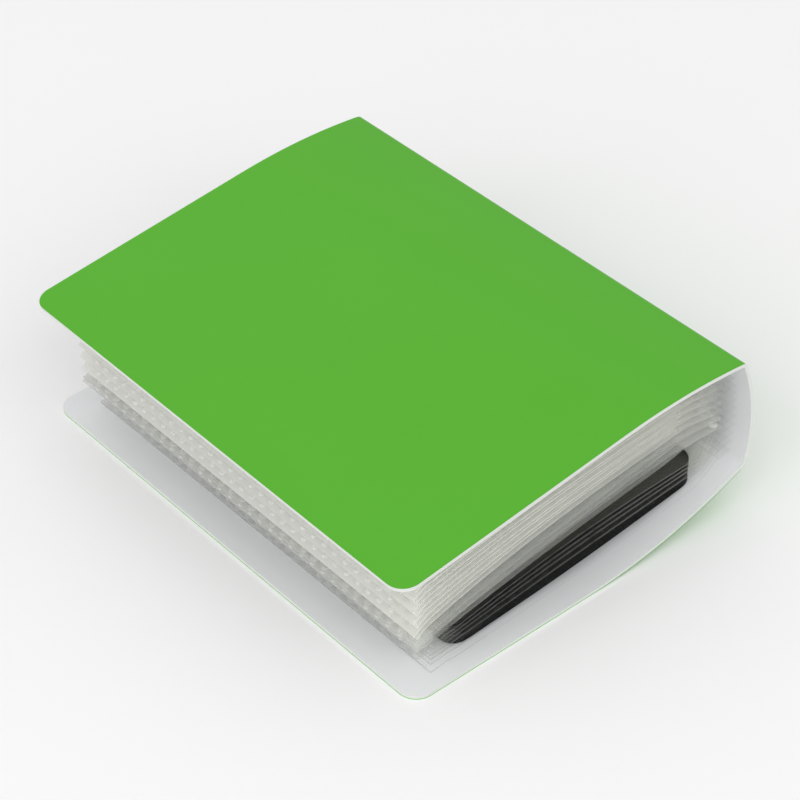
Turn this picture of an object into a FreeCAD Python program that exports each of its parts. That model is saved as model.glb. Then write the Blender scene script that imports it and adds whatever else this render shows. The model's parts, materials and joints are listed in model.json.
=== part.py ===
import FreeCAD, Part
import math
import os

import Sketcher

# A small flexible pocket album, closed and lying on its back cover.
# A creased polypropylene sheet (front cover, spine, back cover) holds twelve pocket pages of clear film
# on stubs inside the spine. The upper ones lie together under the front cover, two hang loose below
# them, and the four lowest are filled with black cards.
# +X runs from the spine to the fore-edge, +Y to the open mouths of the pockets and +Z up.
# The origin is under the middle of the album. Places are first worked out in a side view whose
# zero is the back crease (across) and the table (up), and "centre_shift" then moves them to the origin.

SIZES = [
    ("album_height", 112.0, "cover sheet along the spine"),
    ("core_thick", 0.7, "white core of the cover sheet"),
    ("skin_thick", 0.1, "green face layer of the cover sheet"),
    ("corner_round", 4.0, "rounded fore-edge corners of the covers"),
    ("bead_radius", 0.45, "rolled bead of a crease"),
    ("bead_reach", 0.3, "end of the spine strip inside the bead, from the crease axis"),
    ("crease_gap", 0.65, "end of a cover panel, from the crease axis"),
    ("back_flat_from", 42.0, "across, where the back cover lies flat on the table"),
    ("back_bend_radius", 100.0, "underside of the back cover, rising to the spine"),
    ("back_run", 42.6, "flat stretch of the back cover"),
    ("spine_lean", 2.8, "front crease from the back crease, across"),
    ("spine_rise", 26.0, "front crease from the back crease, up"),
    ("spine_bulge", 2.1, "bow of the spine outwards"),
    ("front_bend_radius", 136.0, "bow of the front cover near the spine, mid-thickness"),
    ("front_rise_angle", 5.9, "degrees by which the front cover rises from its crease"),
    ("front_fall_angle", 7.3, "degrees by which it falls to the fore-edge"),
    ("front_run", 53.8, "straight stretch of the front cover"),
    ("film_thick", 0.12, "one pocket film"),
    ("page_height", 102.4, "page along the spine"),
    ("mouth_inset", 3.6, "page top edge inside the cover's top edge"),
    ("pocket_start", 8.5, "across, where the empty pockets start"),
    ("stack_start", 7.2, "across, where the filled pockets start"),
    ("upper_pocket_width", 73.4, "pocket part of an empty upper page"),
    ("lower_pocket_width", 70.6, "pocket part of a filled lower page"),
    ("upper_pocket_gap", 0.3, "space between the films of an empty pocket"),
    ("card_thick", 0.45, "one black card"),
    ("card_play", 0.03, "free space on each side of a card"),
    ("card_width", 63.0, "card across the page"),
    ("card_height", 88.0, "card along the spine"),
    ("card_round", 3.5, "card corners"),
    ("card_setback", 0.85, "card edge from the start of the pocket part"),
    ("card_inset", 1.7, "card top edge inside the pocket mouth"),
    ("spine_seam", 0.7, "weld seam beside the spine"),
    ("fore_seam", 3.8, "weld seam along the fore-edge"),
    ("bottom_seam", 2.5, "weld seam along the bottom edge"),
    ("seam_break", 0.1, "small break between two seams, and film edge from the seam's own edge"),
    ("hem_thick", 0.24, "two films welded into one"),
    ("hem_reach", 0.15, "end of the hem inside the spine seam"),
    ("fold_radius", 0.25, "bead of the fold on a stub"),
    ("fold_gap", 0.35, "start of the hem, from the fold axis"),
    ("top_fold_across", 4.6, "fold of the top page, across"),
    ("top_fold_up", 33.2, "fold of the top page, up"),
    ("bottom_fold_across", 3.4, "fold of the bottom page, across"),
    ("bottom_fold_up", 10.9, "fold of the bottom page, up"),
    ("stub_length", 8.0, "stub before it is cut to the spine"),
    ("top_page_up", 34.4, "top page at the pocket start, up"),
    ("upper_pitch", 1.84, "spacing of the upper pages there"),
    ("top_page_tilt", 4.8, "degrees by which the top page falls"),
    ("upper_tilt_step", 0.64, "degrees more for each page below it"),
    ("loose_page_up", 22.9, "first loose page at the pocket start, up"),
    ("loose_pitch", 3.3, "spacing of the loose pages there"),
    ("loose_page_tilt", 8.9, "degrees by which the first loose page falls"),
    ("loose_tilt_step", -1.1, "degrees more for the loose page below it"),
    ("stack_up", 7.25, "underside of the lowest page at the pocket start, up"),
    ("stack_play", 0.1, "space between two filled pages"),
    ("stack_tilt", 4.9, "degrees by which the filled pages fall"),
]
UPPER_PAGES = 6
LOOSE_PAGES = 2
CARDS_FROM_BELOW = (6, 3, 2, 2)
PAGES = UPPER_PAGES + LOOSE_PAGES + len(CARDS_FROM_BELOW)
UPRIGHT_EDGES = (1, 3, 5, 7)

doc = FreeCAD.newDocument("PocketAlbum")
sheet = doc.addObject("Spreadsheet::Sheet", "Sizes")
for row, (alias, value, note) in enumerate(SIZES, start=1):
    sheet.set(f"A{row}", note)
    sheet.set(f"B{row}", str(value))
    sheet.setAlias(f"B{row}", alias)
doc.recompute()


def size(alias):
    """Value of a driving dimension."""
    return float(sheet.get(alias))


def polar(centre, radius, degrees):
    """Point of the side view at an angle round a centre."""
    angle = math.radians(degrees)
    return centre + FreeCAD.Vector(math.cos(angle), math.sin(angle), 0) * radius


def turn(length, radius):
    """Angle in degrees of an arc of the given length."""
    return math.degrees(length / radius)


# Side view of the cover sheet: crease axes, and the centres of the three bows
sheet_thick = size("core_thick") + size("skin_thick")
half_sheet = sheet_thick / 2

back_middle_radius = size("back_bend_radius") - half_sheet
back_centre = FreeCAD.Vector(size("back_flat_from"), size("back_bend_radius"), 0)
back_crease_angle = 270 - math.degrees(math.asin(size("back_flat_from") / back_middle_radius))
back_crease = polar(back_centre, back_middle_radius, back_crease_angle)

front_crease = back_crease + FreeCAD.Vector(size("spine_lean"), size("spine_rise"), 0)
front_crease_angle = 90 + size("front_rise_angle")
front_centre = polar(front_crease, size("front_bend_radius"), front_crease_angle + 180)

spine_chord = front_crease - back_crease
spine_middle_radius = spine_chord.Length ** 2 / (8 * size("spine_bulge")) + size("spine_bulge") / 2
spine_inward = FreeCAD.Vector(spine_chord.y, -spine_chord.x, 0).normalize()
spine_tilt = math.degrees(math.atan2(spine_inward.y, spine_inward.x))
spine_centre = (front_crease + back_crease) / 2 + spine_inward * (spine_middle_radius - size("spine_bulge"))
spine_half_angle = math.degrees(math.asin(spine_chord.Length / 2 / spine_middle_radius))

front_tangent = polar(front_centre, size("front_bend_radius") + half_sheet, 90 - size("front_fall_angle"))
front_run_across = size("front_run") * math.cos(math.radians(size("front_fall_angle")))
fore_edge = front_tangent.x + front_run_across
spine_face = spine_centre.x - spine_middle_radius - half_sheet
centre_shift = FreeCAD.Vector(-(fore_edge + spine_face) / 2, 0, 0)

subparts = []


def finish(feature, label):
    """Names a sub-part and puts it on the list to be written."""
    feature.Label = label
    subparts.append(feature)
    return feature


def joined_ends(first, second):
    """End numbers at which two segments of an outline meet."""
    for end, point in ((1, first.StartPoint), (2, first.EndPoint)):
        for start, other in ((1, second.StartPoint), (2, second.EndPoint)):
            if point.distanceToPoint(other) < 1e-6:
                return end, start
    raise ValueError("outline is open")


def padded_outline(body, name, outline, radii):
    """Side-view outline drawn as a sketch and padded to both sides over the album's height.

    radii gives the expression that sets the radius of each arc, by its place in the outline.
    """
    sketch = body.newObject("Sketcher::SketchObject", name + "_side")
    plane = next(f for f in body.Origin.OriginFeatures if f.Role == "XZ_Plane")
    sketch.AttachmentSupport = [(plane, "")]
    sketch.MapMode = "FlatFace"
    for segment in outline:
        sketch.addGeometry(segment)
    if len(outline) > 1:
        for index, segment in enumerate(outline):
            following = (index + 1) % len(outline)
            end, start = joined_ends(segment, outline[following])
            sketch.addConstraint(Sketcher.Constraint("Coincident", index, end, following, start))
    for index, expression in radii.items():
        number = sketch.addConstraint(Sketcher.Constraint("Radius", index, outline[index].Radius))
        sketch.setExpression(f"Constraints[{number}]", expression)
    pad = body.newObject("PartDesign::Pad", name + "_pad")
    pad.Profile = sketch
    pad.Midplane = True
    pad.setExpression("Length", "Sizes.album_height")
    doc.recompute()
    return pad


def arc(centre, radius, angle_a, angle_b):
    """Arc between two angles of the side view."""
    circle = Part.Circle(centre, FreeCAD.Vector(0, 0, 1), radius)
    low, high = sorted((math.radians(angle_a), math.radians(angle_b)))
    return Part.ArcOfCircle(circle, low, high)


def cover_panel(label, centre, faces, crease_angle, tangent_angle, run):
    """One layer of a cover: bowed beside its crease, straight to the rounded fore-edge.

    faces holds the radius of each face of the layer, as a value and as the expression behind it.
    """
    (outer, outer_rule), (inner, inner_rule) = faces
    outer_tangent = polar(centre, outer, tangent_angle)
    inner_tangent = polar(centre, inner, tangent_angle)
    outline = [
        arc(centre, outer, crease_angle, tangent_angle),
        Part.LineSegment(outer_tangent, outer_tangent + run),
        Part.LineSegment(outer_tangent + run, inner_tangent + run),
        Part.LineSegment(inner_tangent + run, inner_tangent),
        arc(centre, inner, crease_angle, tangent_angle),
        Part.LineSegment(polar(centre, inner, crease_angle), polar(centre, outer, crease_angle)),
    ]
    body = doc.addObject("PartDesign::Body", label)
    pad = padded_outline(body, label, outline, {0: outer_rule, 4: inner_rule})
    corner_from = max(outer_tangent.x + run.x, inner_tangent.x + run.x) - sheet_thick
    corners = [
        f"Edge{number}"
        for number, edge in enumerate(pad.Shape.Edges, start=1)
        if edge.BoundBox.XMin > corner_from and edge.BoundBox.YLength < size("skin_thick")
    ]
    rounding = body.newObject("PartDesign::Fillet", label + "_corners")
    rounding.Base = (pad, corners)
    rounding.setExpression("Radius", "Sizes.corner_round")
    body.Placement = FreeCAD.Placement(centre_shift, FreeCAD.Rotation())
    return finish(body, label)


# Front cover: its outer face is the upper one
front_fall = math.radians(size("front_fall_angle"))
front_direction = FreeCAD.Vector(math.cos(front_fall), -math.sin(front_fall), 0) * size("front_run")
front_radius = size("front_bend_radius")
half_sheet_rule = "(Sizes.core_thick + Sizes.skin_thick) / 2"
front_faces = [
    (front_radius + half_sheet, f"Sizes.front_bend_radius + {half_sheet_rule}"),
    (front_radius + half_sheet - size("skin_thick"),
     f"Sizes.front_bend_radius + {half_sheet_rule} - Sizes.skin_thick"),
    (front_radius - half_sheet, f"Sizes.front_bend_radius - {half_sheet_rule}"),
]
front_start_angle = front_crease_angle - turn(size("crease_gap"), front_radius)
front_tangent_angle = 90 - size("front_fall_angle")
for label, faces in (("front_cover_skin", front_faces[:2]), ("front_cover_panel", front_faces[1:])):
    cover_panel(label, front_centre, faces, front_start_angle, front_tangent_angle, front_direction)

# Back cover: its outer face is the underside, flat on the table away from the spine
back_direction = FreeCAD.Vector(size("back_run"), 0, 0)
back_radius = size("back_bend_radius")
back_faces = [
    (back_radius, "Sizes.back_bend_radius"),
    (back_radius - size("skin_thick"), "Sizes.back_bend_radius - Sizes.skin_thick"),
    (back_radius - sheet_thick, "Sizes.back_bend_radius - Sizes.skin_thick - Sizes.core_thick"),
]
back_start_angle = back_crease_angle + turn(size("crease_gap"), back_middle_radius)
for label, faces in (("back_cover_skin", back_faces[:2]), ("back_cover_panel", back_faces[1:])):
    cover_panel(label, back_centre, faces, back_start_angle, 270, back_direction)


def spine_layer(label, outer, inner, end_trim, beads):
    """One layer of the bowed spine, with a rolled bead along each crease where it carries them."""
    reach = spine_half_angle - turn(end_trim, spine_middle_radius)
    low, high = 180 + spine_tilt - reach, 180 + spine_tilt + reach
    outline = [
        arc(spine_centre, outer, low, high),
        Part.LineSegment(polar(spine_centre, outer, high), polar(spine_centre, inner, high)),
        arc(spine_centre, inner, low, high),
        Part.LineSegment(polar(spine_centre, inner, low), polar(spine_centre, outer, low)),
    ]
    body = doc.addObject("PartDesign::Body", label)
    padded_outline(body, label, outline, {})
    for number, axis in enumerate(beads, start=1):
        circle = Part.Circle(axis, FreeCAD.Vector(0, 0, 1), size("bead_radius"))
        padded_outline(body, f"{label}_bead_{number}", [circle], {0: "Sizes.bead_radius"})
    body.Placement = FreeCAD.Placement(centre_shift, FreeCAD.Rotation())
    return finish(body, label)


spine_skin_inside = spine_middle_radius + half_sheet - size("skin_thick")
spine_inside = spine_middle_radius - half_sheet
spine_layer("spine_skin", spine_middle_radius + half_sheet, spine_skin_inside, size("crease_gap"), [])
spine_layer("spine_panel", spine_skin_inside, spine_inside, size("bead_reach"), [back_crease, front_crease])


def lay(point, degrees, along=0.0, away=0.0, start_y=0.0):
    """Placement in the model of a box whose length runs along a line of the side view."""
    angle = math.radians(degrees)
    across = point.x + along * math.cos(angle) - away * math.sin(angle)
    up = point.y + along * math.sin(angle) + away * math.cos(angle)
    spot = FreeCAD.Vector(across, start_y, up) + centre_shift
    return FreeCAD.Placement(spot, FreeCAD.Rotation(FreeCAD.Vector(0, 1, 0), -degrees))


def box(name, sizes, placement):
    """Box whose length, width and height are bound to expressions of the sheet."""
    solid = doc.addObject("Part::Box", name)
    for dimension, expression in zip(("Length", "Width", "Height"), sizes):
        solid.setExpression(dimension, expression)
    solid.Placement = placement
    return solid


def group(label, members):
    """Several separate solids as one sub-part."""
    gathered = doc.addObject("Part::Compound", label)
    gathered.Links = members
    return finish(gathered, label)


page_bottom = size("album_height") / 2 - size("mouth_inset") - size("page_height")
top_fold = FreeCAD.Vector(size("top_fold_across"), size("top_fold_up"), 0)
bottom_fold = FreeCAD.Vector(size("bottom_fold_across"), size("bottom_fold_up"), 0)


def fold_axis(page):
    """Fold of a page, counted from 1 at the top."""
    return top_fold + (bottom_fold - top_fold) * ((page - 1) / (PAGES - 1))


def stub(page):
    """Strip from the spine to the fold of a page, ending in a round bead."""
    axis = fold_axis(page)
    toward_spine = 180 + spine_tilt
    strip = box(
        f"stub_{page:02d}_strip",
        ("Sizes.stub_length", "Sizes.page_height", "Sizes.hem_thick"),
        lay(axis, toward_spine, away=-size("hem_thick") / 2, start_y=page_bottom),
    )
    bead = doc.addObject("Part::Cylinder", f"stub_{page:02d}_bead")
    bead.setExpression("Radius", "Sizes.fold_radius")
    bead.setExpression("Height", "Sizes.page_height")
    foot = FreeCAD.Vector(axis.x, page_bottom, axis.y) + centre_shift
    bead.Placement = FreeCAD.Placement(foot, FreeCAD.Rotation(FreeCAD.Vector(1, 0, 0), -90))
    whole = doc.addObject("Part::Fuse", f"stub_{page:02d}")
    whole.Base = strip
    whole.Tool = bead
    return whole


# Stubs: cut to the inside of the spine, so that they stand on it
stubs = doc.addObject("Part::Compound", "stubs_uncut")
stubs.Links = [stub(page) for page in range(1, PAGES + 1)]
spine_hollow = doc.addObject("Part::Cylinder", "spine_hollow")
spine_hollow.Radius = spine_inside
spine_hollow.setExpression("Height", "Sizes.album_height")
hollow_foot = FreeCAD.Vector(spine_centre.x, -size("album_height") / 2, spine_centre.y) + centre_shift
spine_hollow.Placement = FreeCAD.Placement(hollow_foot, FreeCAD.Rotation(FreeCAD.Vector(1, 0, 0), -90))
standing_stubs = doc.addObject("Part::Common", "page_stubs")
standing_stubs.Base = stubs
standing_stubs.Tool = spine_hollow
finish(standing_stubs, "page_stubs")


def card(page, number, start, tilt, level):
    """One rounded card in a pocket, with its underside at the given level above the page's middle."""
    card_bottom = page_bottom + size("page_height") - size("card_inset") - size("card_height")
    plate = box(
        f"page_{page:02d}_card_{number}_plate",
        ("Sizes.card_width", "Sizes.card_height", "Sizes.card_thick"),
        lay(start, tilt, size("card_setback"), level, card_bottom),
    )
    doc.recompute()
    rounded = doc.addObject("Part::Fillet", f"page_{page:02d}_card_{number}")
    rounded.Base = plate
    rounded.Edges = [(edge, size("card_round"), size("card_round")) for edge in UPRIGHT_EDGES]
    return rounded


def hem(page, start, tilt, gap, gap_rule):
    """Welded strip from the fold to the pocket, with the seam that starts the pocket."""
    axis = fold_axis(page)
    slope = start - axis
    degrees = math.degrees(math.atan2(slope.y, slope.x))
    length = slope.Length - size("fold_gap") + size("hem_reach")
    strip = box(
        f"page_{page:02d}_hem_strip",
        (str(length), "Sizes.page_height", "Sizes.hem_thick"),
        lay(axis, degrees, size("fold_gap"), -size("hem_thick") / 2, page_bottom),
    )
    seam = box(
        f"page_{page:02d}_spine_seam",
        ("Sizes.spine_seam", "Sizes.page_height", gap_rule),
        lay(start, tilt, 0, -gap / 2, page_bottom),
    )
    whole = doc.addObject("Part::Fuse", f"page_{page:02d}_hem")
    whole.Base = strip
    whole.Tool = seam
    return whole


def pocket_page(page, start, tilt, width_name, gap, gap_rule):
    """Two films and the seams between them; the pocket is open at the top edge."""
    name = f"page_{page:02d}"
    width = size(width_name)
    edge = size("seam_break")
    film_sizes = (f"Sizes.{width_name} - Sizes.seam_break", "Sizes.page_height", "Sizes.film_thick")
    front = box(name + "_front_film", film_sizes, lay(start, tilt, edge, gap / 2, page_bottom))
    finish(front, name + "_front_film")
    below = -gap / 2 - size("film_thick")
    back = box(name + "_back_film", film_sizes, lay(start, tilt, edge, below, page_bottom))
    finish(back, name + "_back_film")
    fore = box(
        name + "_fore_seam",
        ("Sizes.fore_seam", "Sizes.page_height", gap_rule),
        lay(start, tilt, width - size("fore_seam"), -gap / 2, page_bottom),
    )
    bottom = box(
        name + "_bottom_seam",
        (f"Sizes.{width_name} - Sizes.fore_seam - Sizes.spine_seam - 2 * Sizes.seam_break",
         "Sizes.bottom_seam", gap_rule),
        lay(start, tilt, size("spine_seam") + edge, -gap / 2, page_bottom),
    )
    group(name + "_seams", [hem(page, start, tilt, gap, gap_rule), fore, bottom])


def empty_pages(first, count, up, pitch, tilt, tilt_step):
    """A run of empty pages, each lower and at another slope than the one above it."""
    gap = size("upper_pocket_gap")
    for step in range(count):
        start = FreeCAD.Vector(size("pocket_start"), up - step * pitch, 0)
        slope = -(tilt + step * tilt_step)
        pocket_page(first + step, start, slope, "upper_pocket_width", gap, "Sizes.upper_pocket_gap")


# Upper pages: empty pockets together under the front cover
empty_pages(1, UPPER_PAGES, size("top_page_up"), size("upper_pitch"),
            size("top_page_tilt"), size("upper_tilt_step"))

# Loose pages: empty pockets that hang between the upper ones and the cards
empty_pages(UPPER_PAGES + 1, LOOSE_PAGES, size("loose_page_up"), size("loose_pitch"),
            size("loose_page_tilt"), size("loose_tilt_step"))

# Filled pages: a stack of pockets with cards, lying on the back cover
card_step = size("card_thick") + size("card_play")
underside = size("stack_up")
for step, card_count in enumerate(CARDS_FROM_BELOW):
    page = PAGES - step
    gap = card_count * card_step + size("card_play")
    gap_rule = f"{card_count} * (Sizes.card_thick + Sizes.card_play) + Sizes.card_play"
    thickness = gap + 2 * size("film_thick")
    start = FreeCAD.Vector(size("stack_start"), underside + thickness / 2, 0)
    tilt = -size("stack_tilt")
    pocket_page(page, start, tilt, "lower_pocket_width", gap, gap_rule)
    cards = [
        card(page, number + 1, start, tilt, -gap / 2 + size("card_play") + number * card_step)
        for number in range(card_count)
    ]
    group(f"page_{page:02d}_cards", cards)
    underside += thickness + size("stack_play")

doc.recompute()
for feature in doc.Objects:
    if "Invalid" in feature.State or "Error" in feature.State:
        raise RuntimeError(f"{feature.Label}: {feature.State}")
for feature in subparts:
    if feature.Shape.isNull() or not feature.Shape.isValid():
        raise RuntimeError(f"{feature.Label} has no valid shape")

os.makedirs("parts", exist_ok=True)
for feature in subparts:
    feature.Shape.exportStep(f"parts/{feature.Label}.step")
print(f"{len(subparts)} sub-parts")
for name, axis in [("back crease", back_crease), ("front crease", front_crease)] + [
    (f"fold {page:02d}", fold_axis(page)) for page in range(1, PAGES + 1)
]:
    print(f"{name}: x {axis.x + centre_shift.x:.3f} z {axis.y:.3f}")
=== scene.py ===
import json
import math
import random

import bpy
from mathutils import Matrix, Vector


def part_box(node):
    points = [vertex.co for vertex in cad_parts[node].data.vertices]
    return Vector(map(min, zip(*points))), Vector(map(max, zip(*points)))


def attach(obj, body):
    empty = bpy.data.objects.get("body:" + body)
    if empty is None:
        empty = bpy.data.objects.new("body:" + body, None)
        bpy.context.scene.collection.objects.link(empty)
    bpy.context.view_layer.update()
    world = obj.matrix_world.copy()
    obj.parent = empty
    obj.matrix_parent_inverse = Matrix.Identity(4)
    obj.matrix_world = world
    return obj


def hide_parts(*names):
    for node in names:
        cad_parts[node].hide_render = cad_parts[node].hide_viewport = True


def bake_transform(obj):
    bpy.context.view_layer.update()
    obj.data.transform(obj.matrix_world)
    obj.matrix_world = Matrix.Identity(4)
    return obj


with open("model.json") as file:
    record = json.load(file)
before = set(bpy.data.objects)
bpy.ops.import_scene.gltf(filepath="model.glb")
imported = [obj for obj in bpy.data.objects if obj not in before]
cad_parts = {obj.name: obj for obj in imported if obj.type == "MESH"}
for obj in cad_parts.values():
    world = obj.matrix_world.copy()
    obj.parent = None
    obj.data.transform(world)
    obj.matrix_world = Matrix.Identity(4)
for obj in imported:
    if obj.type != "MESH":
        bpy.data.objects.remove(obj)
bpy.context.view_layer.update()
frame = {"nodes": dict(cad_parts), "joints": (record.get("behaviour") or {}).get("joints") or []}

joints = {joint["name"]: joint for joint in frame["joints"]}

# Front cover
# The upper panel of one sheet of white polypropylene with a green outer face, die-cut with rounded
# fore-edge corners. It is creased along the spine and bows upwards beside the crease.
# Side views are drawn in millimetres: across from the origin, and up from the table.
MM = 1000
SHEET_THICK = 0.8
SHEET_HEIGHT = 112.0
CORNER_ROUND = 4.0
SHEET_SHARP = 35
PANEL_START = 1.0
FRONT_BEND_RADIUS = 136.0
FRONT_RISE_ANGLE = 5.9
FRONT_FALL_ANGLE = 7.3
FRONT_RUN = 53.8
BEND_STEPS = 24
FRONT_FLAT_STEPS = 14
CORNER_STEPS = 12


def side_point(joint_name):
    """Axis of a hinge in the side view, in millimetres."""
    place = joints[joint_name]["pos_m"]
    return Vector((place[0] * MM, place[2] * MM))


def on_circle(centre, radius, degrees):
    """Point of the side view at an angle round a centre."""
    angle = math.radians(degrees)
    return centre + Vector((math.cos(angle), math.sin(angle))) * radius


def arc_points(centre, radius, first, last, count):
    """Evenly spaced points of an arc of the side view."""
    return [on_circle(centre, radius, first + (last - first) * i / count) for i in range(count + 1)]


def line_points(start, end, count):
    """Evenly spaced points of a line of the side view, without its first point."""
    return [start.lerp(end, i / count) for i in range(1, count + 1)]


def normals(path):
    """Unit normals of a side-view path, on its left as it runs."""
    out = []
    for i in range(len(path)):
        run = path[min(i + 1, len(path) - 1)] - path[max(i - 1, 0)]
        out.append(Vector((-run.y, run.x)).normalized())
    return out


def lengths(path):
    """Distance of each point from the start of a path."""
    out = [0.0]
    for a, b in zip(path, path[1:]):
        out.append(out[-1] + (b - a).length)
    return out


def row_ends(distances, low_y, high_y, start_round, end_round):
    """Ends of each row of a sheet along the spine, drawn in at rounded corners."""
    total = distances[-1]
    out = []
    for d in distances:
        pull = 0.0
        for radius, gone in ((start_round, d), (end_round, total - d)):
            if radius > 0 and gone < radius:
                pull = max(pull, radius - math.sqrt(max(radius ** 2 - (radius - gone) ** 2, 0.0)))
        out.append((low_y + pull, high_y - pull))
    return out


def sheet_mesh(name, path, layers, ends, columns, offset=None):
    """Closed sheet along a side-view path, as a mesh in metres.

    layers lists the distance of each layer from the path, from the upper face to the lower one.
    Faces get material 0 on the upper face, 1 on the lower face and 2 and on along the cut edge.
    offset gives a further shift along the normal for a row number and a share of the height.
    """
    sides = normals(path)
    rows, wide = len(path), columns + 1
    points = []
    for depth in layers:
        for i in range(rows):
            low, high = ends[i]
            for j in range(wide):
                share = j / columns
                lift = depth + (offset(i, share) if offset else 0.0)
                spot = path[i] + sides[i] * lift
                points.append((spot.x / MM, (low + (high - low) * share) / MM, spot.y / MM))
    faces, slots = [], []
    last = (len(layers) - 1) * rows * wide
    for i in range(rows - 1):
        for j in range(columns):
            a = i * wide + j
            faces.append((a, a + wide, a + wide + 1, a + 1))
            slots.append(0)
            faces.append((last + a, last + a + 1, last + a + wide + 1, last + a + wide))
            slots.append(1)
    rim = [i * wide for i in range(rows)]
    rim += [(rows - 1) * wide + j for j in range(1, wide)]
    rim += [i * wide + columns for i in range(rows - 2, -1, -1)]
    rim += list(range(columns - 1, 0, -1))
    for layer in range(len(layers) - 1):
        upper, lower = layer * rows * wide, (layer + 1) * rows * wide
        for a, b in zip(rim, rim[1:] + rim[:1]):
            faces.append((upper + a, lower + a, lower + b, upper + b))
            slots.append(2 + layer)
    mesh = bpy.data.meshes.new(name)
    mesh.from_pydata(points, [], faces)
    mesh.polygons.foreach_set("material_index", slots)
    mesh.polygons.foreach_set("use_smooth", [True] * len(faces))
    mesh.set_sharp_from_angle(angle=math.radians(SHEET_SHARP))
    mesh.update()
    return mesh


def piece(name, mesh, materials):
    """Object for a mesh, with its materials."""
    made = bpy.data.objects.new(name, mesh)
    for material in materials:
        mesh.materials.append(material)
    bpy.context.scene.collection.objects.link(made)
    return made


def linear(code):
    """sRGB hex colour as linear red, green, blue and alpha."""
    parts = [int(code[i:i + 2], 16) / 255 for i in (1, 3, 5)]
    return [c / 12.92 if c <= 0.04045 else ((c + 0.055) / 1.055) ** 2.4 for c in parts] + [1.0]


def add(tree, kind, settings=None, **links):
    """Adds a node; settings are attributes or input values, links go from outputs to its inputs."""
    made = tree.nodes.new(kind)
    for key, value in (settings or {}).items():
        if isinstance(key, str) and hasattr(made, key):
            setattr(made, key, value)
        else:
            made.inputs[key].default_value = value
    for key, output in links.items():
        name = key.replace("_", " ")
        tree.links.new(output, made.inputs[int(name[1:]) if name[1:].isdigit() else name])
    return made


def new_material(name):
    """Empty node material: its tree, its Principled shader, and coordinates in millimetres."""
    material = bpy.data.materials.new(name)
    material.use_nodes = True
    tree = material.node_tree
    shader = tree.nodes["Principled BSDF"]
    place = add(tree, "ShaderNodeTexCoord")
    millimetres = add(tree, "ShaderNodeVectorMath", {"operation": "SCALE", "Scale": MM},
                      Vector=place.outputs["Object"])
    return material, tree, shader, millimetres.outputs["Vector"]


# Grain of the roller is about 0.3 mm; it is drawn at 0.6 mm so that it shows.
GRAIN_SIZE = 0.6
GRAIN_RISE = 0.0001
CLOUD_SIZE = 25.0
GLOSS_SPREAD = 0.05
POLYPROPYLENE_IOR = 1.49
SHEET_SHEEN = 0.3


def polypropylene(name, colour, shade, roughness, grain_depth):
    """Rolled polypropylene sheet: even colour, satin sheen and a faint pebbled grain from the roller."""
    material, tree, shader, place = new_material(name)
    shader.inputs["IOR"].default_value = POLYPROPYLENE_IOR
    shader.inputs["Specular IOR Level"].default_value = SHEET_SHEEN
    cloud = add(tree, "ShaderNodeTexNoise", {"Scale": 1 / CLOUD_SIZE, "Detail": 3.0}, Vector=place)
    tint = add(tree, "ShaderNodeMix", {"data_type": "RGBA", 6: linear(colour), 7: linear(shade)},
               Factor=cloud.outputs["Fac"])
    grain = add(tree, "ShaderNodeTexNoise", {"Scale": 1 / GRAIN_SIZE, "Detail": 2.0}, Vector=place)
    gloss = add(tree, "ShaderNodeMapRange",
                {"To Min": roughness - GLOSS_SPREAD, "To Max": roughness + GLOSS_SPREAD},
                Value=grain.outputs["Fac"])
    bump = add(tree, "ShaderNodeBump", {"Strength": grain_depth, "Distance": GRAIN_RISE},
               Height=grain.outputs["Fac"])
    tree.links.new(tint.outputs[2], shader.inputs["Base Color"])
    tree.links.new(gloss.outputs["Result"], shader.inputs["Roughness"])
    tree.links.new(bump.outputs["Normal"], shader.inputs["Normal"])
    return material


# The outside: an even leaf green, satin, hardly reflecting.
green_face = polypropylene("green_polypropylene_face", "#56B028", "#53AD25",
                           roughness=0.45, grain_depth=0.10)
# The inside: a cool white that takes soft shade from the pages.
white_face = polypropylene("white_polypropylene_sheet", "#EDEFF0", "#E8EAEB",
                           roughness=0.45, grain_depth=0.08)
# The die-cut edge: a little duller and rougher than the faces.
white_edge = polypropylene("white_polypropylene_cut_edge", "#DCDEDA", "#D4D6D2",
                           roughness=0.55, grain_depth=0.15)

front_crease = side_point("front_hinge")
front_centre = on_circle(front_crease, FRONT_BEND_RADIUS, 270 + FRONT_RISE_ANGLE)
front_start = 90 + FRONT_RISE_ANGLE - math.degrees(PANEL_START / FRONT_BEND_RADIUS)
front_path = arc_points(front_centre, FRONT_BEND_RADIUS, front_start, 90 - FRONT_FALL_ANGLE, BEND_STEPS)
front_fall = math.radians(FRONT_FALL_ANGLE)
front_edge = front_path[-1] + Vector((math.cos(front_fall), -math.sin(front_fall))) * FRONT_RUN
front_corner = front_path[-1].lerp(front_edge, 1 - CORNER_ROUND / FRONT_RUN)
front_path += line_points(front_path[-1], front_corner, FRONT_FLAT_STEPS)


def corner_points(start, end, count):
    """Points of a line that crowd towards its end, for a rounded corner."""
    return [start.lerp(end, math.sin(math.pi / 2 * i / count)) for i in range(1, count + 1)]


front_path += corner_points(front_corner, front_edge, CORNER_STEPS)
SHEET_LAYERS = [SHEET_THICK / 2, -SHEET_THICK / 2]
SHEET_FACES = [green_face, white_face, white_edge]
SHEET_COLUMNS = 24
sheet_low, sheet_high = -SHEET_HEIGHT / 2, SHEET_HEIGHT / 2


def cover_piece(name, path, layers, faces, corner):
    """One panel of the cover sheet."""
    ends = row_ends(lengths(path), sheet_low, sheet_high, 0.0, corner)
    return piece(name, sheet_mesh(name, path, layers, ends, SHEET_COLUMNS), faces)


front_cover = cover_piece("front_cover_sheet", front_path, SHEET_LAYERS, SHEET_FACES, CORNER_ROUND)
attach(front_cover, "front_cover")
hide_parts("front_cover_panel", "front_cover_skin")

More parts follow.
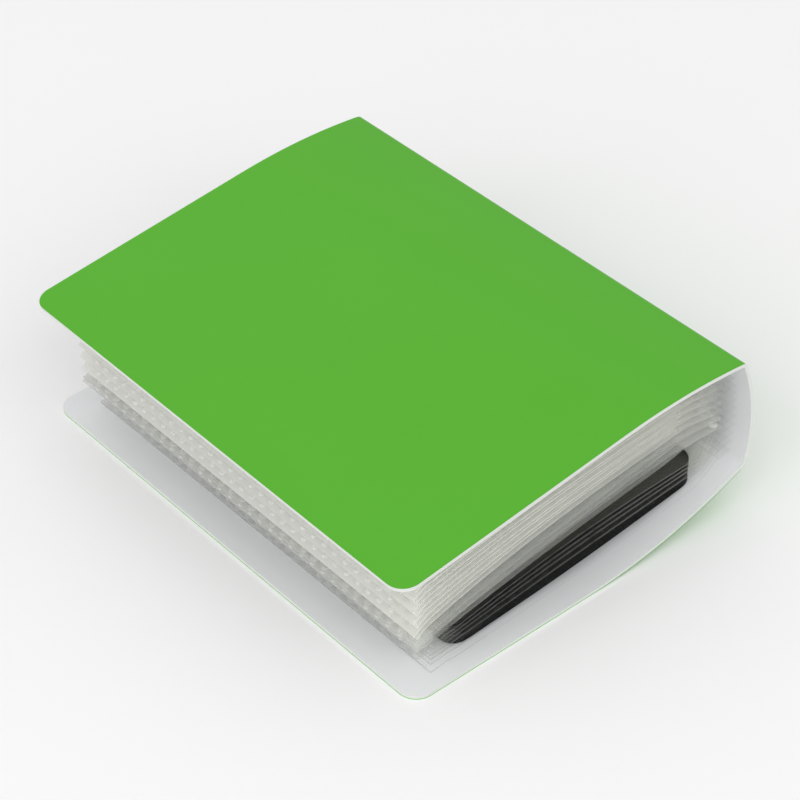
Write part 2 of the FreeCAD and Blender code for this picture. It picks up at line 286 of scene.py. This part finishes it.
# Back cover
# The lower panel of the same sheet. It lies flat on the table from its middle to the fore-edge and
# rises in a long bend to the spine. Its green face is underneath, so its white inside shows.
BACK_BEND_RADIUS = 100.0
BACK_FLAT_FROM = 42.0
BACK_RUN = 42.6
BACK_BEND_STEPS = 28
BACK_FLAT_STEPS = 12
# The green face layer shows as a thin line under the white cut edge.
BACK_SKIN = 0.16

back_crease = side_point("back_hinge")
back_middle_radius = BACK_BEND_RADIUS - SHEET_THICK / 2
back_centre = Vector((back_crease.x + BACK_FLAT_FROM, BACK_BEND_RADIUS))
back_rise = math.asin(BACK_FLAT_FROM / back_middle_radius)
back_start = 270 - math.degrees(back_rise - PANEL_START / back_middle_radius)
back_path = arc_points(back_centre, back_middle_radius, back_start, 270, BACK_BEND_STEPS)
back_edge = back_path[-1] + Vector((BACK_RUN, 0))
back_corner = back_edge - Vector((CORNER_ROUND, 0))
back_path += line_points(back_path[-1], back_corner, BACK_FLAT_STEPS)
back_path += corner_points(back_corner, back_edge, CORNER_STEPS)
back_layers = [SHEET_THICK / 2, -SHEET_THICK / 2 + BACK_SKIN, -SHEET_THICK / 2]
back_cover = cover_piece("back_cover_sheet", back_path, back_layers,
                         [white_face, green_face, white_edge, green_face], CORNER_ROUND)
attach(back_cover, "back_cover")
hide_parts("back_cover_panel", "back_cover_skin")

# Spine
# The narrow middle panel of the sheet between the two creases. It bows outwards because the pages
# inside push it round.
SPINE_BULGE = 2.1

spine_chord = front_crease - back_crease
spine_radius = spine_chord.length ** 2 / (8 * SPINE_BULGE) + SPINE_BULGE / 2
spine_inward = Vector((spine_chord.y, -spine_chord.x)).normalized()
spine_centre = (front_crease + back_crease) / 2 + spine_inward * (spine_radius - SPINE_BULGE)
spine_middle_angle = 180 + math.degrees(math.atan2(spine_inward.y, spine_inward.x))
spine_half = math.asin(spine_chord.length / 2 / spine_radius) * spine_radius
spine_half_angle = math.degrees((spine_half - PANEL_START) / spine_radius)
spine_path = arc_points(spine_centre, spine_radius, spine_middle_angle + spine_half_angle,
                        spine_middle_angle - spine_half_angle, BEND_STEPS)
spine = cover_piece("spine_sheet", spine_path, SHEET_LAYERS, SHEET_FACES, 0.0)
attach(spine, "spine")
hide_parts("spine_panel", "spine_skin")

# Creases
# The two lines where the sheet is pressed thin so that it folds: living hinges without a pin.
# Each is a short strip of the same sheet, drawn bent round its crease.
CREASE_REACH = 1.5
CREASE_TUCK = 0.02
CREASE_BEND = 0.45
CREASE_STEPS = 8


def crease_piece(name, near, corner, far):
    """Strip of sheet bent round a crease, tucked into both panels."""
    first, last = corner.lerp(near, CREASE_BEND), corner.lerp(far, CREASE_BEND)
    path = [near, near.lerp(first, 0.5)]
    for i in range(CREASE_STEPS + 1):
        share = i / CREASE_STEPS
        path.append(first.lerp(corner, share).lerp(corner.lerp(last, share), share))
    path += [last.lerp(far, 0.5), far]
    outer = SHEET_THICK / 2 - CREASE_TUCK
    ends = [(sheet_low + CREASE_TUCK, sheet_high - CREASE_TUCK)] * len(path)
    return piece(name, sheet_mesh(name, path, [outer, -outer], ends, SHEET_COLUMNS), SHEET_FACES)


def along_spine(distance):
    """Point of the spine's middle line, measured from its middle."""
    return on_circle(spine_centre, spine_radius, spine_middle_angle - math.degrees(distance / spine_radius))


spine_top = along_spine(spine_half - CREASE_REACH)
spine_foot = along_spine(CREASE_REACH - spine_half)
front_near = on_circle(front_centre, FRONT_BEND_RADIUS,
                       90 + FRONT_RISE_ANGLE - math.degrees(CREASE_REACH / FRONT_BEND_RADIUS))
back_near = on_circle(back_centre, back_middle_radius,
                      270 - math.degrees(back_rise - CREASE_REACH / back_middle_radius))


def in_model(point, along=0.0):
    """Place in the model, in metres, of a side-view point."""
    return (point.x / MM, along / MM, point.y / MM)


front_fold = crease_piece("front_crease", spine_top, front_crease, front_near)
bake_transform(front_fold)
back_fold = crease_piece("back_crease", back_near, back_crease, spine_foot)
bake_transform(back_fold)

# Pocket pages
# Each page is two films of clear polypropylene welded along the spine, the fore-edge and the bottom,
# and open at the top. Empty pages bow under the front cover; filled ones sag onto the back cover,
# and the cards draw their upper film back a little at the mouth.
PAGE_COUNT = 12
SLAB_COUNT = 6
EMPTY_COUNT = 8
FILM_THICK = 0.16
FILM_GAP = 0.01
PAGE_ROWS = 60
PAGE_COLUMNS = 40
EMPTY_ROOT = 16.0
FILLED_ROOT = 4.3
SLAB_BOW = (0.7, 1.4)
SLAB_DROOP = (0.3, 1.8)
LOOSE_BOW = {7: 0.2, 8: 0.7}
LOOSE_DROOP = {7: 2.0, 8: 0.9}
STACK_SAG = 1.1
STACK_DROOP = 0.25
DROOP_POWER = 5
EDGE_CURL = 1.1
EDGE_CURL_FROM = 4.5
SEAM_DROP = 0.5
SEAM_DROP_START = 1.5
CARD_THICK = 0.30
CARD_PLAY = 0.18
FORE_SEAM = 3.8
BOTTOM_SEAM = 2.5
SPINE_SEAM = 0.7
MOUTH_OPENING = 0.46
CLOSED_OPENING = 0.06
CORNER_GAPE = 0.60
CORNER_REACH = 8.0
DRAWN_BACK = 1.55
LOOSENESS_SPREAD = 0.1
POCKET_SEED = 7
# Distances over which the films part from the spine seam, the fore-edge seam and the bottom seam.
FILLED_EASE = (1.5, 1.8, 4.0)
EMPTY_EASE = (14.0, 9.0, 60.0)

random.seed(POCKET_SEED)
page_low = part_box("page_01_front_film")[0].y * MM
page_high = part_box("page_01_front_film")[1].y * MM


def smooth(share):
    """Smooth step from 0 to 1."""
    share = min(max(share, 0.0), 1.0)
    return share * share * (3 - 2 * share)


def measure_pocket(page):
    """Start and fore-edge of a page's pocket in the side view, and half the space between its films."""
    front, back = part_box(f"page_{page:02d}_front_film"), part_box(f"page_{page:02d}_back_film")
    start = Vector((front[0].x + back[0].x, front[1].z + back[1].z)) * (MM / 2)
    edge = Vector((front[1].x + back[1].x, front[0].z + back[0].z)) * (MM / 2)
    return start, edge, (front[1].z - back[1].z) * (MM / 2)


pockets = {page: measure_pocket(page) for page in range(1, PAGE_COUNT + 1)}
card_boxes = {page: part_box(f"page_{page:02d}_cards") for page in range(EMPTY_COUNT + 1, PAGE_COUNT + 1)}


def card_count(page):
    """Number of cards that fill a page's pocket."""
    return round(2 * pockets[page][2] / (CARD_THICK + CARD_PLAY))


def card_spacing(page, across):
    """Distance from card to card: loose at the middle of the stack, close at its two ends."""
    low, high = card_boxes[page]
    share = (across / MM - low.x) / (high.x - low.x)
    return CARD_THICK + CARD_PLAY * math.sin(math.pi * min(max(share, 0.0), 1.0))


def stack_settling(page, across):
    """How far a filled page lies lower where the cards in it and below it lie close."""
    below = sum(card_count(other) for other in range(page + 1, PAGE_COUNT + 1))
    return (below + card_count(page) / 2) * (CARD_THICK + CARD_PLAY - card_spacing(page, across))


def bow_and_droop(page):
    """Rise of a page's middle, and fall of its fore-edge, from the flat."""
    if page <= SLAB_COUNT:
        share = (page - 1) / (SLAB_COUNT - 1)
        return [low + (high - low) * share for low, high in (SLAB_BOW, SLAB_DROOP)]
    if page <= EMPTY_COUNT:
        return LOOSE_BOW[page], LOOSE_DROOP[page]
    return -STACK_SAG, STACK_DROOP


def page_path(page):
    """Middle line of a page from its fold to its fore-edge, bowed or sagging as it lies."""
    fold = side_point(f"page_{page:02d}_turn")
    start, edge, half_gap = pockets[page]
    bow, droop = bow_and_droop(page)
    filled = page > EMPTY_COUNT
    seam_drop = SEAM_DROP * half_gap if filled else 0.0
    root = FILLED_ROOT if filled else EMPTY_ROOT
    path = []
    for i in range(PAGE_ROWS + 1):
        across = fold.x + (edge.x - fold.x) * i / PAGE_ROWS
        share = max((across - start.x) / (edge.x - start.x), 0.0)
        flat = start.y + (edge.y - start.y) * (across - start.x) / (edge.x - start.x)
        from_fold = smooth((across - fold.x) / root)
        up = fold.y + (flat - fold.y) * from_fold
        up += bow * math.sin(math.pi * share) - droop * share ** DROOP_POWER
        up -= seam_drop * smooth((across - edge.x + FORE_SEAM * SEAM_DROP_START) / FORE_SEAM)
        if filled:
            up -= stack_settling(page, across) * from_fold
        if page <= SLAB_COUNT:
            up -= EDGE_CURL * max((across - edge.x) / EDGE_CURL_FROM + 1, 0.0) ** 2
        path.append(Vector((across, up)))
    return path


# Cast film waves gently over about 9 mm; the haze and the gloss follow the waves.
RIPPLE_SIZE = 9.0
RIPPLE_DEPTH = 0.1
RIPPLE_RISE = 0.0003
HAZE_SPREAD = 0.12
GLOW_SHARE = 0.35


def clear_film(name, colour, haze, roughness, fade=None):
    """Cast polypropylene film: a milky haze that light comes through, glossy, faintly rippled.

    fade is an axis, a place in millimetres with another haze, that haze, and where the fade ends.
    """
    material, tree, shader, place = new_material(name)
    shader.inputs["IOR"].default_value = POLYPROPYLENE_IOR
    shader.inputs["Base Color"].default_value = linear(colour)
    ripple = add(tree, "ShaderNodeTexNoise", {"Scale": 1 / RIPPLE_SIZE, "Detail": 2.0}, Vector=place)
    gloss = add(tree, "ShaderNodeMapRange",
                {"To Min": roughness - GLOSS_SPREAD, "To Max": roughness + GLOSS_SPREAD},
                Value=ripple.outputs["Fac"])
    bump = add(tree, "ShaderNodeBump", {"Strength": RIPPLE_DEPTH, "Distance": RIPPLE_RISE},
               Height=ripple.outputs["Fac"])
    tree.links.new(gloss.outputs["Result"], shader.inputs["Roughness"])
    tree.links.new(bump.outputs["Normal"], shader.inputs["Normal"])
    glow = add(tree, "ShaderNodeBsdfTranslucent", {"Color": linear(colour)})
    body = add(tree, "ShaderNodeMixShader", {"Fac": GLOW_SHARE})
    tree.links.new(shader.outputs["BSDF"], body.inputs[1])
    tree.links.new(glow.outputs["BSDF"], body.inputs[2])
    clear = add(tree, "ShaderNodeBsdfTransparent", {"Color": linear("#FFFFFF")})
    veil = add(tree, "ShaderNodeMapRange",
               {"To Min": haze * (1 - HAZE_SPREAD), "To Max": haze * (1 + HAZE_SPREAD)},
               Value=ripple.outputs["Fac"])
    if fade:
        axis, first, first_haze, last = fade
        along = add(tree, "ShaderNodeSeparateXYZ", Vector=place)
        share = add(tree, "ShaderNodeMapRange",
                    {"From Min": first, "From Max": last, "To Min": first_haze / haze, "To Max": 1.0},
                    Value=along.outputs[axis])
        veil = add(tree, "ShaderNodeMath", {"operation": "MULTIPLY"},
                   _0=veil.outputs["Result"], _1=share.outputs["Result"])
    seen = add(tree, "ShaderNodeMixShader", Fac=veil.outputs[0])
    tree.links.new(clear.outputs["BSDF"], seen.inputs[1])
    tree.links.new(body.outputs["Shader"], seen.inputs[2])
    tree.links.new(seen.outputs["Shader"], tree.nodes["Material Output"].inputs["Surface"])
    return material


# Films of the close-lying pages: many layers together look milky, and clearer towards the spine.
film = clear_film("clear_polypropylene_film", "#F0F1EB", haze=0.32, roughness=0.22,
                  fade=("X", -38.0, 0.06, -26.0))
# Their cut edges: they gather light and show as bright lines.
film_edge = clear_film("cut_edge_of_film", "#FBFBF8", haze=0.95, roughness=0.45,
                       fade=("X", -37.0, 0.03, 10.0))
# Films of the two loose pages: clear enough to see the dark cards through.
loose_film = clear_film("clear_film_of_loose_page", "#E6E7E2", haze=0.15, roughness=0.22,
                        fade=("X", -36.0, 0.26, -18.0))
# Their cut edges: dull grey lines, lost towards the spine.
loose_edge = clear_film("cut_edge_of_loose_film", "#B8BABA", haze=0.35, roughness=0.35,
                        fade=("X", -37.0, 0.03, 10.0))
# Upper film of a filled pocket: drawn tight on the cards, it greys their black.
over_cards = clear_film("clear_film_over_cards", "#ECEDDF", haze=0.010, roughness=0.16,
                        fade=("X", -30.0, 0.060, 12.0))
# Its cut edge: a thin light line along the stack, brightest towards the spine; its pale colour is a painted
# highlight of the edges catching the light.
over_edge_painted_highlight = clear_film("cut_edge_over_cards_painted_highlight", "#C4C6C2", haze=0.38, roughness=0.35,
                       fade=("X", -37.0, 0.60, -8.0))
# Lower film of a filled pocket: hardly to be seen at the mouth.
under_cards = clear_film("clear_film_under_cards", "#F0F1EB", haze=0.030, roughness=0.16,
                         fade=("Y", 51.2, 0.003, 50.2))
# Its cut edge: a grey line at the fore-edge corner, painted shade for the dark gaps under the lowest pages,
# and clear along the stack.
under_edge_painted_shade = clear_film("cut_edge_under_cards_painted_shade", "#8A8C8C", haze=0.08, roughness=0.35,
                        fade=("X", 31.0, 0.50, 20.0))


def fix_to_page(made, page):
    """Fixes a piece to its page when the page is empty; the piece of a filled page is baked where it lies.
    A filled page has a short root, which bends between spine and page.
    """
    body = f"page_{page:02d}"
    if page <= EMPTY_COUNT:
        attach(made, body)
        return
    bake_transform(made)


def page_films(page):
    """Front and back film of a page, held apart over the pocket and together along the seams."""
    path = page_path(page)
    start, edge = pockets[page][:2]
    filled = page > EMPTY_COUNT
    looseness = MOUTH_OPENING * random.uniform(1 - LOOSENESS_SPREAD, 1 + LOOSENESS_SPREAD)
    spine_ease, fore_ease, bottom_ease = FILLED_EASE if filled else EMPTY_EASE

    def opening(row, share):
        from_spine = smooth((path[row].x - start.x - SPINE_SEAM) / spine_ease)
        from_fore = smooth((edge.x - FORE_SEAM - path[row].x) / fore_ease)
        from_bottom = smooth((share * (page_high - page_low) - BOTTOM_SEAM) / bottom_ease)
        full = card_count(page) * card_spacing(page, path[row].x) / 2 if filled else looseness
        least = 0.0 if filled else CLOSED_OPENING
        held = from_spine * from_fore
        to_mouth = smooth(1 - (1 - share) * (page_high - page_low) / CORNER_REACH)
        gape = 0.0 if filled else CORNER_GAPE * to_mouth * smooth(from_spine)
        return FILM_THICK / 2 + FILM_GAP + max(held * (least + (full - least) * from_bottom), gape)

    layers = [FILM_THICK / 2, -FILM_THICK / 2]
    for side, sign in (("front", 1), ("back", -1)):
        mouth = page_high
        body, rim = (film, film_edge) if page <= SLAB_COUNT else (loose_film, loose_edge)
        # The cut edge of the upper film of a filled page carries a painted highlight.
        if filled and side == "front":
            mouth -= DRAWN_BACK
            body, rim = over_cards, over_edge_painted_highlight
        # The cut edge of the lower film of a filled page is painted shade at the fore-edge corner.
        elif filled:
            body, rim = under_cards, under_edge_painted_shade
        ends = [(page_low, mouth)] * len(path)
        name = f"page_{page:02d}_{side}_pocket_film"
        mesh = sheet_mesh(name, path, layers, ends, PAGE_COLUMNS, lambda r, s: sign * opening(r, s))
        made = piece(name, mesh, [body, body, rim])
        fix_to_page(made, page)
        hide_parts(f"page_{page:02d}_{side}_film")


for page in range(1, PAGE_COUNT + 1):
    page_films(page)

# Welded edges
# The films are joined by welded strips with rows of small round pips, pressed between a ribbed bar
# and a roller. The strip along the fore-edge is milky, and each pip is a low dome that catches the light.
PIP_PITCH = 3.1
SLAB_PIP = (0.70, 0.16)
CLEAR_PIP = (0.95, 0.26)
HEM_PIP_START = 1.3
FORE_PIP_INSET = 1.2
PIP_SIDES = 12
PIP_RINGS = ((1.0, 0.0), (0.74, 0.60), (0.40, 0.92))
STRIP_THICK = 0.44
# The hem of a filled page lies between its films, so that it can bend close to its neighbours.
FILLED_HEM_THICK = 0.30
STRIP_START = 4.0
STRIP_INSET = 0.02
STRIP_ROWS = 12
STRIP_COLUMNS = 6
WELD_SHARP = 50

# Strip of the close-lying pages: milky from the weld, and clearer towards the spine.
weld_strip = clear_film("welded_film_strip", "#FAFAF7", haze=0.70, roughness=0.30,
                        fade=("X", -30.0, 0.05, 30.0))
# Its pips: a little whiter and smoother than the strip, so each shows as a pale dot.
weld_pip = clear_film("welded_film_pips", "#FCFCFA", haze=0.62, roughness=0.18,
                      fade=("X", -30.0, 0.05, 30.0))
# Strip of the loose and filled pages: a greyer, clearer weld.
clear_strip = clear_film("clear_welded_strip", "#F0F0EE", haze=0.30, roughness=0.20,
                         fade=("X", -30.0, 0.03, 30.0))
# Its pips: faint glints on the grey.
clear_pip = clear_film("clear_welded_pips", "#FDFDFA", haze=0.22, roughness=0.18,
                       fade=("X", -30.0, 0.10, 30.0))
# Pips of the lowest loose page: hazier and whiter than the other clear pips, a painted highlight so that
# they show bright along their lower rims.
loose_pip_painted_highlight = clear_film("welded_pips_of_loose_page_painted_highlight", "#FDFDFA", haze=0.60, roughness=0.18)


def join_meshes(name, parts):
    """One mesh from several, each with the number of the material that it takes."""
    points, faces, slots = [], [], []
    for mesh, slot in parts:
        first = len(points)
        points += [vertex.co[:] for vertex in mesh.vertices]
        faces += [tuple(first + v for v in face.vertices) for face in mesh.polygons]
        slots += [slot] * len(mesh.polygons)
        bpy.data.meshes.remove(mesh)
    joined = bpy.data.meshes.new(name)
    joined.from_pydata(points, [], faces)
    joined.polygons.foreach_set("material_index", slots)
    joined.polygons.foreach_set("use_smooth", [True] * len(faces))
    joined.set_sharp_from_angle(angle=math.radians(WELD_SHARP))
    joined.update()
    return joined


def pip_mesh(spots, radius, height):
    """Low domes; each spot is a point and a normal of the side view, and a place along the spine."""
    points, faces = [], []
    for spot, normal, along in spots:
        first = len(points)
        across = Vector((normal.y, -normal.x))
        for reach, rise in PIP_RINGS:
            for k in range(PIP_SIDES):
                angle = 2 * math.pi * k / PIP_SIDES
                side = across * (radius * reach * math.cos(angle))
                here = spot + side + normal * (height * rise)
                points.append(in_model(here, along - radius * reach * math.sin(angle)))
        points.append(in_model(spot + normal * height, along))
        for ring in range(len(PIP_RINGS) - 1):
            for k in range(PIP_SIDES):
                a = first + ring * PIP_SIDES + k
                b = first + ring * PIP_SIDES + (k + 1) % PIP_SIDES
                faces.append((a, b, b + PIP_SIDES, a + PIP_SIDES))
        top = first + (len(PIP_RINGS) - 1) * PIP_SIDES
        for k in range(PIP_SIDES):
            faces.append((top + k, top + (k + 1) % PIP_SIDES, len(points) - 1))
        faces.append(tuple(first + k for k in reversed(range(PIP_SIDES))))
    mesh = bpy.data.meshes.new("pips")
    mesh.from_pydata(points, [], faces)
    return mesh


def on_path(path, across):
    """Point and normal of a path at a place across."""
    row = max(r for r in range(len(path) - 1) if path[r].x <= across)
    share = (across - path[row].x) / (path[row + 1].x - path[row].x)
    sides = normals(path)
    return path[row].lerp(path[row + 1], share), sides[row].lerp(sides[row + 1], share).normalized()


def stretch(path, first, last, count):
    """Points of a path between two places across."""
    return [on_path(path, first + (last - first) * i / count)[0] for i in range(count + 1)]


def page_welds(page):
    """Welded strips of one page along the hem, the fore-edge and the bottom, with their pips."""
    path = page_path(page)
    start, edge = pockets[page][:2]
    filled = page > EMPTY_COUNT
    hem = FILLED_HEM_THICK if filled else STRIP_THICK
    face = STRIP_THICK / 2
    low = page_low + STRIP_INSET
    strips = []
    for first, last, high, thick in (
        (path[0].x, start.x + SPINE_SEAM, page_high - STRIP_INSET, hem),
        (edge.x - FORE_SEAM, edge.x - STRIP_INSET, page_high - STRIP_START, STRIP_THICK),
        (start.x + SPINE_SEAM, edge.x - FORE_SEAM, page_low + BOTTOM_SEAM, STRIP_THICK),
    ):
        line = stretch(path, first, last, STRIP_ROWS)
        layers = [thick / 2, -thick / 2]
        strips.append(sheet_mesh("strip", line, layers, [(low, high)] * len(line), STRIP_COLUMNS))
    spots = []
    radius, height = SLAB_PIP if page <= SLAB_COUNT else CLEAR_PIP
    rows = [(edge.x - FORE_PIP_INSET, STRIP_START + radius)]
    if not filled:
        rows.append((path[0].x + radius, HEM_PIP_START))
    for across, first in rows:
        spot, normal = on_path(path, across)
        for n in range(int((page_high - page_low - first) / PIP_PITCH)):
            spots.append((spot + normal * face, normal, page_high - first - PIP_PITCH * n))
    for n in range(1, int((edge.x - FORE_SEAM - start.x) / PIP_PITCH)):
        spot, normal = on_path(path, start.x + n * PIP_PITCH)
        spots.append((spot + normal * face, normal, page_low + BOTTOM_SEAM / 2))
    name = f"page_{page:02d}_weld"
    mesh = join_meshes(name, [(strip, 0) for strip in strips] + [(pip_mesh(spots, radius, height), 1)])
    if page <= SLAB_COUNT:
        weld_films = [weld_strip, weld_pip]
    else:
        # The pips of the lowest loose page carry a painted highlight.
        weld_films = [clear_strip, loose_pip_painted_highlight if page == EMPTY_COUNT else clear_pip]
    made = piece(name, mesh, weld_films)
    fix_to_page(made, page)
    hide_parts(f"page_{page:02d}_seams")


for page in range(1, PAGE_COUNT + 1):
    page_welds(page)

# Page stubs
# Strips of welded film that stand on the inside of the spine; each page turns on the fold at its end.
# The film is nearly clear: the stubs only shade the corner behind the pages a little.
stub_film = clear_film("welded_stub_film", "#B4B6AE", haze=0.035, roughness=0.35)
stub_node = frame["nodes"]["page_stubs"]
stub_node.data.materials.clear()
stub_node.data.materials.append(stub_film)

# Black cards
# Coated black cards with rounded corners, in the four lowest pockets. They bend with their pocket
# and slide out through its open top edge.
CARD_ROUND = 3.5
CARD_COLUMNS = 30
CARD_ROWS = 30
# Paper fibres are about 0.05 mm thick; they are drawn ten times coarser so that they show.
FIBRE_SIZE = 0.5
FIBRE_RISE = 0.0001
FIBRE_DEPTH = 0.08
CARD_GLOSS = (0.38, 0.50)


def coated_card(name, colour, shade, sheen):
    """Smooth coated card: deep black, with a soft gloss and a fine fibre grain under the coating."""
    material, tree, shader, place = new_material(name)
    fibre = add(tree, "ShaderNodeTexNoise", {"Scale": 1 / FIBRE_SIZE, "Detail": 4.0}, Vector=place)
    tint = add(tree, "ShaderNodeMix", {"data_type": "RGBA", 6: linear(colour), 7: linear(shade)},
               Factor=fibre.outputs["Fac"])
    gloss = add(tree, "ShaderNodeMapRange", {"To Min": CARD_GLOSS[0], "To Max": CARD_GLOSS[1]},
                Value=fibre.outputs["Fac"])
    bump = add(tree, "ShaderNodeBump", {"Strength": FIBRE_DEPTH, "Distance": FIBRE_RISE},
               Height=fibre.outputs["Fac"])
    tree.links.new(tint.outputs[2], shader.inputs["Base Color"])
    tree.links.new(gloss.outputs["Result"], shader.inputs["Roughness"])
    tree.links.new(bump.outputs["Normal"], shader.inputs["Normal"])
    shader.inputs["Specular IOR Level"].default_value = sheen
    return material


# The faces: deep black with a soft sheen.
black_card = coated_card("coated_black_card", "#161614", "#1B1B18", sheen=0.5)
# The cut edges: matt, and painted darker still as shade on the cut ends.
card_edge_painted_shade = coated_card("black_card_cut_edge_painted_shade", "#0D0D0E", "#121213", sheen=0.03)


def card_line(page, first, last):
    """Line of a card in its pocket, crowded at both ends for the rounded corners."""
    path = page_path(page)
    shares = [(1 - math.cos(math.pi * i / CARD_ROWS)) / 2 for i in range(CARD_ROWS + 1)]
    return [on_path(path, first + (last - first) * share)[0] for share in shares]


for page in range(EMPTY_COUNT + 1, PAGE_COUNT + 1):
    low, high = card_boxes[page]
    line = card_line(page, low.x * MM, high.x * MM)
    ends = row_ends(lengths(line), low.y * MM, high.y * MM, CARD_ROUND, CARD_ROUND)
    faces = [CARD_THICK / 2, -CARD_THICK / 2]
    count = card_count(page)
    for number in range(count):
        place = number - (count - 1) / 2
        name = f"page_{page:02d}_card_{number + 1}"
        mesh = sheet_mesh(name, line, faces, ends, CARD_COLUMNS,
                          lambda row, share: place * card_spacing(page, line[row].x))
        # The cut edges carry painted shade.
        made = piece(name, mesh, [black_card, black_card, card_edge_painted_shade])
        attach(made, f"cards_{page:02d}")
        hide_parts(f"page_{page:02d}_cards")

# Table and studio
# A pale seamless table under soft, even studio light.
FLOOR_HALF = 3.0
TABLE_CLOUD = 400.0
TABLE_ROUGHNESS = 0.9
TABLE_SHEEN = 0.2
AMBIENT_LEVEL = 0.73
SOFTBOX_SIZE = 1.8


def pale_table():
    """Matt white table top: even, with a trace of cloudiness."""
    material, tree, shader, place = new_material("pale_table")
    cloud = add(tree, "ShaderNodeTexNoise", {"Scale": 1 / TABLE_CLOUD, "Detail": 2.0}, Vector=place)
    tint = add(tree, "ShaderNodeMix", {"data_type": "RGBA", 6: linear("#FAFAFA"), 7: linear("#F8F8F8")},
               Factor=cloud.outputs["Fac"])
    tree.links.new(tint.outputs[2], shader.inputs["Base Color"])
    shader.inputs["Roughness"].default_value = TABLE_ROUGHNESS
    shader.inputs["Specular IOR Level"].default_value = TABLE_SHEEN
    return material


floor_mesh = bpy.data.meshes.new("table_top")
floor_mesh.from_pydata([(-FLOOR_HALF, -FLOOR_HALF, 0), (FLOOR_HALF, -FLOOR_HALF, 0),
                        (FLOOR_HALF, FLOOR_HALF, 0), (-FLOOR_HALF, FLOOR_HALF, 0)], [], [(0, 1, 2, 3)])
floor = piece("table_top", floor_mesh, [pale_table()])

world = bpy.data.worlds.new("studio")
bpy.context.scene.world = world
world.use_nodes = True
world.node_tree.nodes["Background"].inputs["Color"].default_value = linear("#FFFFFF")
world.node_tree.nodes["Background"].inputs["Strength"].default_value = AMBIENT_LEVEL


def softbox(name, place, power):
    """Square studio light aimed at the album."""
    lamp = bpy.data.lights.new(name, "AREA")
    lamp.size = SOFTBOX_SIZE
    lamp.energy = power
    made = bpy.data.objects.new(name, lamp)
    made.location = place
    made.rotation_euler = (-Vector(place)).to_track_quat("-Z", "Y").to_euler()
    bpy.context.scene.collection.objects.link(made)


softbox("left_softbox", (1.7, 0.5, 1.05), power=15.0)
softbox("right_softbox", (0.2, 1.8, 1.5), power=12.0)

# Camera
# A long lens from the fore-edge and the open ends of the pockets, as the photograph is taken.
VIEW_AZIMUTH = 139.26
VIEW_ELEVATION = 39.11
VIEW_DISTANCE = 0.50906
VIEW_TARGET = (-0.0065, -0.00362, 0.0085)
LENS = 114.28
SENSOR_WIDTH = 36.0
NEAREST = 0.01
# Film faces that one line of sight may pass.
FILM_FACES = 64

azimuth, elevation = math.radians(VIEW_AZIMUTH), math.radians(VIEW_ELEVATION)
toward_viewer = Vector((math.sin(azimuth) * math.cos(elevation), -math.cos(azimuth) * math.cos(elevation),
                        math.sin(elevation)))
camera_data = bpy.data.cameras.new("camera")
camera_data.lens = LENS
camera_data.sensor_width = SENSOR_WIDTH
camera_data.clip_start = NEAREST
camera = bpy.data.objects.new("camera", camera_data)
camera.location = Vector(VIEW_TARGET) + toward_viewer * VIEW_DISTANCE
camera.rotation_euler = (-toward_viewer).to_track_quat("-Z", "Y").to_euler()
bpy.context.scene.collection.objects.link(camera)
bpy.context.scene.camera = camera
bpy.context.scene.view_settings.view_transform = "Standard"
bpy.context.scene.cycles.transparent_max_bounces = FILM_FACES
